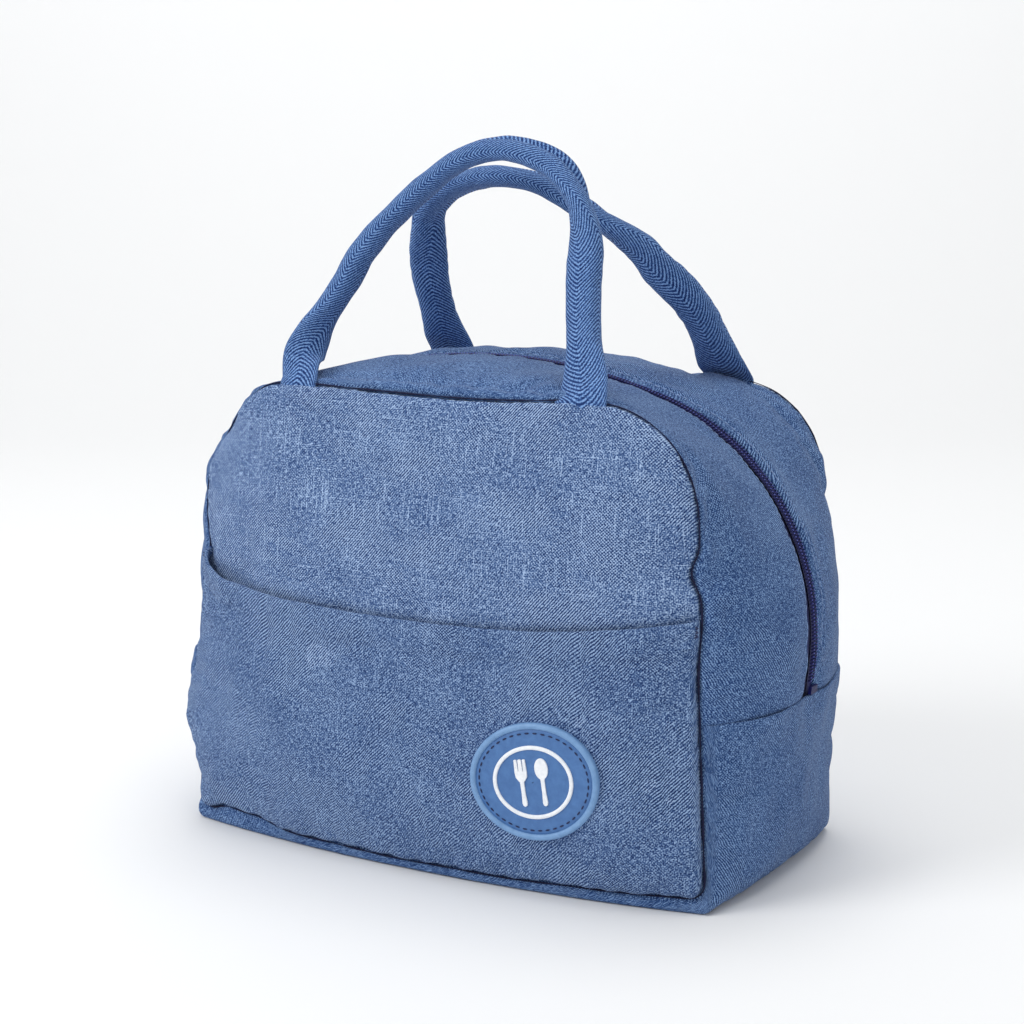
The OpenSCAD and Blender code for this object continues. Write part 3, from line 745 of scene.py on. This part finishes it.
def under(a):
    """How far a station along the zipper is tucked beneath the lower gusset."""
    tucked = smooth(UP_FROM + 0.6, UP_FROM - 0.4, a) + smooth(UP_TO - 0.6, UP_TO + 0.4, a)
    return tucked[:, None, None]


for side in (-1, 1):
    name = "front" if side < 0 else "back"
    lead = steps(14.6, first=0.09, cell=0.5, both=False)
    lead = np.unique(np.concatenate([lead[lead < 13.2], np.linspace(13.2, v_index(-STRIP_EDGE), 9)]))
    b = lead if side < 0 else 32 - lead
    g = sample(LOOP, AU[:, None], b[None])
    n = normals(g, 1 if side > 0 else -1)
    yd = np.abs(g[..., 1:2])
    groove = -0.35 * bell(yd, TOPSTITCH, 0.9) - 0.3 * smooth(8.6, 6.2, yd)
    ripple = 0.25 * waves(g, 16, 61 + side)[..., None] * smooth(24, 5, yd)
    if side < 0:
        # rolled band behind the top seam
        d = seam_distance(g, (-1,))
        roll = smooth(173, 180, g[..., 2]) * (1.2 * bell(d, 3.4, 2.0) - 0.5 * bell(d, 7.8, 1.5))
        groove = groove + roll[..., None]
    g = g + n * (groove + ripple + wrinkles(g, 51 + side, (side,)) * smooth(5, 18, yd) - 0.9 * under(AU))
    g = sew(g, (side,))
    n = normals(g, 1 if side > 0 else -1)
    g2 = fold_edge(g.transpose(1, 0, 2), n.transpose(1, 0, 2), 0.75, 5).transpose(1, 0, 2)
    ob = grid_object("zip_strip_%s_cloth" % name, g2, grid_uv(g2), side_look, flip=side < 0)
    carry(ob, side)
    if side < 0:
        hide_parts("zip_strip_front", "zip_strip_front_ends", "foam_strip_front", "foam_strip_front_ends")
    else:
        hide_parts("zip_strip_back", "foam_strip_back")

    # topstitching beside the fold
    k = np.argmin(np.abs(np.abs(g[150, :, 1]) - TOPSTITCH))
    line, nn = g[12:-12, k], n[12:-12, k]
    s = travelled(line)
    at = np.arange(2, s[-1] - 2, 3.3)
    pick = lambda arr, q: np.stack([np.interp(q, s, arr[:, i]) for i in range(3)], -1)
    c = pick(line, at) + pick(nn, at) * 0.16
    way = pick(line, at + 0.7) - pick(line, at - 0.7)
    st = capsules(c, way, pick(nn, at), 2.6, 0.6, 0.42, thread_mat, "topstitch_" + name)
    carry(st, side)

    # tape beneath the fold
    b = np.sort(np.linspace(v_index(side * 12), v_index(side * 0.7), 10))
    g = sample(LOOP, AU[:, None], b[None])
    n = normals(g, -1)
    g = g - n * (1.5 + 0.7 * under(AU))
    tape = grid_object("zip_tape_" + name, g, grid_uv(g), tape_mat, flip=True)
    carry(tape, side)
    if side < 0:
        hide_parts("zipper_tape_front", "zipper_tape_front_ends")
    else:
        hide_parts("zipper_tape_back")

    # coil
    line = sample(LOOP, AU[8:-8], 16.0)
    nn = normals(sample(LOOP, AU[8:-8, None], np.array([15.5, 16.0, 16.5])[None]), -1)[:, 1]
    s = travelled(line)
    at = np.arange(1 + (0 if side < 0 else COIL_PITCH / 2), s[-1] - 1, COIL_PITCH)
    c = pick(line, at) + np.array([0, side * 1.2, 0]) + pick(nn, at) * 0.35
    along = np.tile([0, 1.0, 0.0], (len(at), 1))
    coil = capsules(c, along, pick(nn, at), 3.3, 0.8, 1.1, coil_mat, "zip_coil_" + name, rings=7)
    carry(coil, side)
    if side < 0:
        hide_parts("zipper_coil_front", "zipper_coil_front_ends")
    else:
        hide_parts("zipper_coil_back")
    # pale threads along the top of each coil: real stitching, whose pale colour also stands in for the
    # highlights on the coil's turns
    c = pick(line, at) + np.array([0, side * 1.55, 0]) + pick(nn, at) * 0.92
    way = pick(line, at + 0.5) - pick(line, at - 0.5)
    dot_name = "zip_coil_thread_and_highlight_" + name
    dots = capsules(c, way, pick(nn, at), 0.75, 0.55, 0.35, pale_thread_highlight_mat, dot_name, rings=4, around=6)
    carry(dots, side)

# ------------------------------------------------------------------ lining and bindings
LIN = 4.4  # thickness of the wall


def lining(name, grid, a, b, sign, side, nodes, flip, lip=False):
    """Foil lining under a part of the shell; lip closes its free edge up to the zipper tape."""
    g = sample(grid, a[:, None], b[None])
    n = normals(g, sign)
    inner = g - n * (LIN + 0.25 * waves(g, 22, 71)[..., None])
    d = seam_distance(g)
    inner = inner + (g - n * 3.4 - inner) * smooth(2.5, 0, d)[..., None]
    inner[..., 2] = np.maximum(inner[..., 2], 4.2)
    if lip:
        inner = np.concatenate([inner, (g[:, -1:] - n[:, -1:] * 1.95)], 1)
    ob = grid_object(name, inner, grid_uv(inner), foil_mat, flip=flip)
    carry(ob, side)
    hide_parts(*nodes)


def seam_tube(name, side, step, count, centre, ru, rw, mat, lowest=None):
    """Closed tube along a seam; ru and rw are its half sizes outward and across."""
    line, way = SEAM_LINE[side]
    line, way = line[::step], way[::step]
    u = unit(way)
    w = np.cross(unit(np.roll(line, -1, 0) - np.roll(line, 1, 0)), u)
    th = np.linspace(0, 2 * math.pi, count)
    round_u = u[:, None] * (ru(line) * np.cos(th))[..., None]
    round_w = w[:, None] * (rw(line) * np.sin(th))[..., None]
    g = centre(line, u, w)[:, None] + round_u + round_w
    if lowest is not None:
        g[..., 2] = np.maximum(g[..., 2], lowest)
    g = np.concatenate([g, g[:1]])
    ob = grid_object(name, g, grid_uv(g), mat, flip=True)
    carry(ob, side)
    return ob


pa, pb = np.arange(0.6, 55.5, 0.9), np.arange(0.6, 42.5, 0.9)
floor_a, floor_b = np.arange(MID - 44.5, MID + 45, 0.9), np.arange(0.6, 31.5, 0.77)
lining("lining_front_foil", FRONT, pa, pb, 1, -1, ["lining_front", "lining_front_top"], True)
lining("lining_back_foil", BACK, pa, pb, -1, 1, ["lining_back"], False)
lining("lining_floor_foil", LOOP, floor_a, floor_b, -1, 1, ["lining_floor"], False)


def binding_centre(line, u, w):
    return line - u * 8.6 - 0.3 * waves(line, 12, 77)[:, None] * w


# painted shadow: where the dark tube that stands in for the seams' shade lies, and how thick it is (thicker at
# middle heights, so the dark line is wider there)
def shade_tube_centre(line, u, w):
    return line - u * (0.95 - 0.5 * smooth(12, 7, line[:, 2]))[:, None]


def shade_tube_radius(line):
    z = line[:, 2]
    r = (0.28 + 0.12 * smooth(150, 110, z) * smooth(8, 16, z)) * (1 + 0.3 * waves(line, 14, 91))
    return r[:, None]


for side in (-1, 1):
    name = "front" if side < 0 else "back"
    a, b = np.arange(UP_FROM - 1, UP_TO + 1.1, 0.9), np.linspace(0.6, v_index(-10.5), 18)
    nodes = ["lining_strip_front", "lining_strip_front_ends"] if side < 0 else ["lining_strip_back"]
    b = b if side < 0 else 32 - b
    lining("lining_strip_%s_foil" % name, LOOP, a, b, side, side, nodes, side > 0, lip=True)
    ob = seam_tube(
        "seam_binding_%s_cloth" % name, side, 2, 13, binding_centre,
        lambda p: 3.0 * np.ones((len(p), 1)), lambda p: np.ones((len(p), 1)), bind_look, lowest=5.0,
    )
    if side < 0:
        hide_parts("seam_binding_front", "seam_binding_front_top")
    else:
        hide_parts("seam_binding_back")

# painted shadow: a dark tube lying deep in each outer seam, standing in for the shade in the seam's gap
for side in (-1, 1):
    name = "front" if side < 0 else "back"
    ob = seam_tube("seam_shadow_tube_" + name, side, 1, 9, shade_tube_centre, shade_tube_radius, shade_tube_radius, seam_shade_look)

# ------------------------------------------------------------------ handles
# centre lines from one sewn foot to the other
FRONT_ROUTE = [
    (-62.5, -61.5, 179), (-62.6, -62.2, 183), (-63, -60, 188), (-65.5, -53, 196), (-64, -46, 206),
    (-61, -40, 215), (-57, -35, 224), (-53, -31, 234), (-47, -27, 243), (-38, -23, 253), (-28, -20, 262),
    (-14, -18.3, 271.5), (2, -18, 275.6), (17, -19, 274), (30, -20, 268.5), (39, -23, 259), (44, -26, 249),
    (47, -29, 240), (50, -36, 223), (55, -45, 206), (60.5, -55, 193), (62.5, -60.5, 187),
    (62.8, -62.2, 183), (62.8, -61.5, 179),
]
BACK_ROUTE = [
    (-65.5, 61.5, 179), (-65.8, 62.3, 183), (-66, 59, 190), (-65.5, 51, 199), (-64.5, 44, 210),
    (-63, 37, 221), (-61, 32, 231), (-58, 27, 241), (-55, 24, 250), (-45, 20, 258), (-31, 17, 263),
    (-15, 14, 265), (4, 13, 262), (20, 14, 254), (34, 17, 245), (45, 21, 237), (51, 25, 229), (59, 32, 219),
    (63, 39, 210), (65, 46, 200), (66, 54, 189.5), (66, 62.3, 183), (65.7, 61.5, 179),
]


def strap(name, route, grip, twist, seed, feet=(11.0, 11.0)):
    """Webbing rolled into a soft grip, flat at its feet. grip is its width and thickness, twist its
    turn in radians at each share of the length, and feet the half widths where it is sewn in."""
    p, total = spline(route, 300)
    t, n, b = frames_along(p, (0, 1.0, 0))
    s = np.linspace(0, total, len(p))
    end = np.minimum(s, total - s)
    roll = smooth(9, 34, end)
    wob = waves(p, 40, seed)
    foot = np.where(s < total / 2, feet[0], feet[1])
    half_w = foot + (grip[0] / 2 - foot) * roll + 0.4 * wob * roll
    half_t = 1.3 + (grip[1] / 2 - 1.3) * roll - 0.3 * wob * roll
    turn = twist(s / total)
    th = np.linspace(0, 2 * math.pi, 57)
    ang = math.pi / 2 + th[None]
    ct, st = np.cos(turn)[:, None], np.sin(turn)[:, None]
    n, b = n * ct + b * st, b * ct - n * st
    e = 2.0 / 2.5  # a section between an ellipse and a rounded box
    cx = np.sign(np.cos(ang)) * np.abs(np.cos(ang)) ** e
    cy = np.sign(np.sin(ang)) * np.abs(np.sin(ang)) ** e
    off = np.minimum(th, 2 * math.pi - th)
    # the seam where the webbing's edges meet, with a soft ridge on either side
    notch = 1 - roll[:, None] * (0.42 * bell(off, 0, 0.2) - 0.07 * bell(off, 0.5, 0.28))[None]
    around = p[:, None] + 6 * np.stack([cx, cy, cx * 0], -1)
    notch = notch + 0.02 * waves(around, 9, seed + 1) * roll[:, None]
    g = p[:, None] + n[:, None] * (half_w[:, None] * cx * notch)[..., None]
    g = g + b[:, None] * (half_t[:, None] * cy * notch)[..., None]
    u = np.broadcast_to(th / (2 * math.pi) * WEB_ROUND, g.shape[:2])
    return grid_object(name, g, np.stack([u, np.broadcast_to(s[:, None], u.shape)], -1), web_look, flip=True)


def front_twist(q):
    return 1.75 * smooth(0.78, 0.6, q) * smooth(0.02, 0.16, q)


def back_twist(q):
    return (0.55 * smooth(0.02, 0.12, q) + 0.95 * smooth(0.2, 0.34, q)) * smooth(0.8, 0.6, q)


fh = strap("handle_front_web", FRONT_ROUTE, (14.6, 9.0), front_twist, 81, (8.6, 10.6))
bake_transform(fh)
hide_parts("handle_front", "handle_tabs_front")
bh = strap("handle_back_web", BACK_ROUTE, (14.8, 8.6), back_twist, 85)
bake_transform(bh)
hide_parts("handle_back", "handle_tabs_back")

# ------------------------------------------------------------------ badge
BX, BZ, TILT = 53.5, 45.6, math.radians(9)
# a quadratic surface through the pocket's cloth behind the badge
pts = POCKET.reshape(-1, 3)
pts = pts[np.hypot(pts[:, 0] - BX, pts[:, 2] - BZ) < 31]
terms = lambda x, z: np.stack([np.ones_like(x), x, z, x * x, z * z, x * z], -1)
fit = np.linalg.lstsq(terms(pts[:, 0] - BX, pts[:, 2] - BZ), pts[:, 1], rcond=None)[0]
base_y = float(np.max(terms(pts[:, 0] - BX, pts[:, 2] - BZ) @ fit - pts[:, 1]))
fit[0] -= min(base_y, 0.8) * 0.6


def on_badge(a, b, h):
    """Places badge coordinates a, b at height h above the fitted cloth."""
    a, b, h = np.broadcast_arrays(*(np.asarray(v, float) for v in (a, b, h)))
    x = a * math.cos(TILT) - b * math.sin(TILT)
    z = a * math.sin(TILT) + b * math.cos(TILT)
    y = terms(x, z) @ fit
    nx, nz = fit[1] + 2 * fit[3] * x + fit[5] * z, fit[2] + 2 * fit[4] * z + fit[5] * x
    k = h / np.sqrt(nx**2 + nz**2 + 1)
    return np.stack([BX + x + nx * k, y - k, BZ + z + nz * k], -1)


TH = np.linspace(0, 2 * math.pi, 121)


def oval(name, rows, mat, node):
    """rows of half width, half height, height above the pocket; the surface through them goes right round."""
    rows = np.array(rows, float)
    g = on_badge(rows[:, :1] * np.cos(TH), rows[:, 1:2] * np.sin(TH), rows[:, 2:3])
    ob = grid_object(name, g, grid_uv(g), mat, flip=True)
    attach(ob, "shell")
    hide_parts(node)
    return ob


def inset(e, h):
    return 26 - e, 22.2 - e, h


RIM = [
    (0.3, -1.2), (0, 0.2), (0, 1.2), (0.15, 1.65), (0.6, 2.05),
    (1.2, 2.2), (1.8, 2.1), (2.25, 1.75), (2.45, 1.3), (2.5, 1.1),
]
FACE = [(23.6 * k, 19.8 * k, 1.35 + 0.15 * (1 - k * k)) for k in np.linspace(1, 0.01, 16)]
RING = [
    (16.2, 13.8, 1.2), (16.2, 13.8, 1.8), (16.0, 13.6, 2.0), (15.4, 13.0, 2.05),
    (14.9, 12.5, 2.0), (14.7, 12.3, 1.8), (14.7, 12.3, 1.2),
]
rim = oval("badge_rim_rubber", [inset(*row) for row in RIM], rim_mat, "badge_base")
face = oval("badge_face_rubber", [inset(2.3, 1.2)] + FACE, rubber_mat, "badge_base")
ring = oval("badge_ring_rubber", RING, white_mat, "badge_ring")
an = np.arange(0, 2 * math.pi, 2 * math.pi / 44)  # 44 stitches
stitch = lambda angle, h: on_badge(22.1 * np.cos(angle), 18.3 * np.sin(angle), h)
c, c2 = stitch(an, 1.5), stitch(an + 0.02, 1.5)
up = stitch(an, 2.5) - c
st = capsules(c, c2 - c, up, 1.9, 0.62, 0.4, dark_thread, "badge_stitches")
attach(st, "shell")
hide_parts("badge_stitching")


def relief(name, outline_points, node):
    """A thin raised shape in white rubber on the badge's face, from its outline."""
    cu = bpy.data.curves.new(name, "CURVE")
    cu.dimensions, cu.fill_mode = "2D", "BOTH"
    cu.extrude, cu.bevel_depth, cu.bevel_resolution = 0.2, 0.16, 2
    sp = cu.splines.new("POLY")
    sp.points.add(len(outline_points) - 1)
    for q, (x, y) in zip(sp.points, outline_points):
        q.co = (x, y, 0, 1)
    sp.use_cyclic_u = True
    tmp = bpy.data.objects.new(name + "_tmp", cu)
    me = bpy.data.meshes.new_from_object(tmp)
    bpy.data.objects.remove(tmp)
    v = np.zeros(len(me.vertices) * 3)
    me.vertices.foreach_get("co", v)
    v = v.reshape(-1, 3)
    me.vertices.foreach_set("co", (on_badge(v[:, 0], v[:, 1], 1.72 + v[:, 2]) * MM).ravel())
    me.update()
    me.materials.clear()
    me.materials.append(white_mat)
    ob = bpy.data.objects.new(name, me)
    scene.collection.objects.link(ob)
    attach(ob, "shell")
    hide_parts(node)


FX, SX = -4.2, 4.2  # middles of the fork and the spoon
fork = [
    (-2.1, 8.6), (-2.3, 4.0), (-2.1, 2.2), (-1.3, 1.1), (-0.65, 0.4),
    (-0.6, -4), (-0.85, -7.6), (-0.6, -8.5), (0, -8.8),
]
fork = fork + [(-x, y) for x, y in fork[-2::-1]]
fork += [
    (1.8, 8.7), (1.3, 8.6), (1.25, 4.4), (0.95, 4.1), (0.65, 4.4), (0.5, 8.6), (0, 8.8),
    (-0.5, 8.6), (-0.65, 4.4), (-0.95, 4.1), (-1.25, 4.4), (-1.3, 8.6), (-1.8, 8.7),
]
relief("badge_fork_relief", [(FX + x, y) for x, y in fork], "badge_fork")
bowl = [(2.5 * math.sin(t), 5.0 + 3.8 * math.cos(t)) for t in np.linspace(0.0, 2.82, 18)]
handle = [(0.6, 0.6), (0.6, -4), (0.85, -7.6), (0.6, -8.5), (0, -8.8)]
spoon = bowl + handle + [(-x, y) for x, y in handle[-2::-1]] + [(-x, y) for x, y in bowl[:0:-1]]
relief("badge_spoon_relief", [(SX + x, y) for x, y in spoon], "badge_spoon")

# bartacks at the pocket's top corners
cs, ds, us = [], [], []
pn = normals(POCKET)
for half in (range(0, 40), range(len(POCKET) - 1, len(POCKET) - 41, -1)):
    near = nearest(POCKET[list(half), -2], SEAM_LINE[-1][0])[0]
    i = list(half)[int(np.argmin(np.abs(near - 3.4)))]
    for k in range(6):
        cs.append(POCKET[i, -2] + np.array([0, 0, -0.75 * k - 0.4]) + pn[i, -2] * 0.15)
        ds.append((1.0, 0, 0.3 * (1 if k % 2 else -1)))
        us.append(pn[i, -2])
bt = capsules(np.array(cs), np.array(ds), np.array(us), 2.2, 0.5, 0.4, dark_thread, "pocket_bartack_threads")
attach(bt, "shell")
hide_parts("pocket_bartacks")

# ------------------------------------------------------------------ slider, pull and stops keep their CAD shapes
for name in ("zipper_stops", "slider_body", "slider_bail", "pull_tab"):
    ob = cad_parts[name]
    ob.data.materials.clear()
    ob.data.materials.append(coil_mat if name == "zipper_stops" else metal_mat)
    bev = ob.modifiers.new("edges", "BEVEL")
    bev.width, bev.segments, bev.limit_method, bev.angle_limit = 0.00022, 2, "ANGLE", 0.6

# ------------------------------------------------------------------ studio
def backdrop():
    """Pale floor that curves up into a wall, square to the camera."""
    k = Look("paper_sweep", 0.95, Specular_IOR_Level=0.1)
    up = k.node("SeparateXYZ", {0: k.place()}, out=2)
    # painted light: the sweep is coloured darker on the floor and lighter up the wall, where the light on it is
    # brighter
    k.color(k.ramp(k.f("MULTIPLY", up, 0.0012), [(0.0, (240, 240, 240)), (0.6, (250, 250, 250))]))
    prof = [(-2600, 0), (-1200, 0), (0, 0), (1200, 0)] + [
        (1200 + 900 * math.sin(t), 900 * (1 - math.cos(t))) for t in np.linspace(0.1, math.pi / 2, 14)
    ] + [(2100, 1800), (2100, 4200)]
    y = np.array([q[0] for q in prof], float)
    z = np.array([q[1] for q in prof], float)
    x = np.linspace(-3500, 3500, 9)
    g = np.stack(np.broadcast_arrays(x[:, None], y[None], z[None]), -1)
    r = math.radians(29.92)  # the camera's azimuth
    turn = np.array([[math.cos(r), math.sin(r), 0], [-math.sin(r), math.cos(r), 0], [0, 0, 1]])
    g = g @ turn
    g[..., 2] -= 0.05
    ob = grid_object("sweep", g, g[..., :2] * 0, k.m)
    ob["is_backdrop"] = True
    return ob


backdrop()
world = bpy.data.worlds.new("studio")
scene.world = world
world.use_nodes = True
world.node_tree.nodes["Background"].inputs[0].default_value = (0.96, 0.98, 1.0, 1)
world.node_tree.nodes["Background"].inputs[1].default_value = 0.5


def lamp(name, place, size, power, aim=(0, 0, 0.1)):
    d = bpy.data.lights.new(name, "AREA")
    d.shape, d.size, d.energy = "DISK", size, power
    ob = bpy.data.objects.new(name, d)
    ob.location = place
    ob.rotation_euler = (Vector(aim) - Vector(place)).to_track_quat("-Z", "Y").to_euler()
    scene.collection.objects.link(ob)
    ob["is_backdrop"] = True
    return ob


lamp("key", (-0.85, -1.2, 1.0), 0.9, 13)
lamp("wall", (-0.45, 0.7, 2.5), 1.6, 13, (-1.05, 1.85, 1.0))
lamp("fill", (1.6, -1.2, 0.9), 1.4, 5)
lamp("top", (0.1, 0.1, 2.2), 2.0, 17)

cam = bpy.data.cameras.new("camera")
cam.lens, cam.sensor_width = 72.25, 36
cam.dof.use_dof = False
eye = bpy.data.objects.new("camera", cam)
eye.location = (0.4103, -0.7156, 0.2690)
eye.rotation_euler = (Vector((-0.0015, 0, 0.1301)) - eye.location).to_track_quat("-Z", "Y").to_euler()
scene.collection.objects.link(eye)
scene.camera = eye
scene.view_settings.view_transform = "Standard"

end_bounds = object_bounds()
boxes = {"start": start_bounds, "end": end_bounds}
boxes = {k: [list(map(float, v)) for v in box] for k, box in boxes.items()}
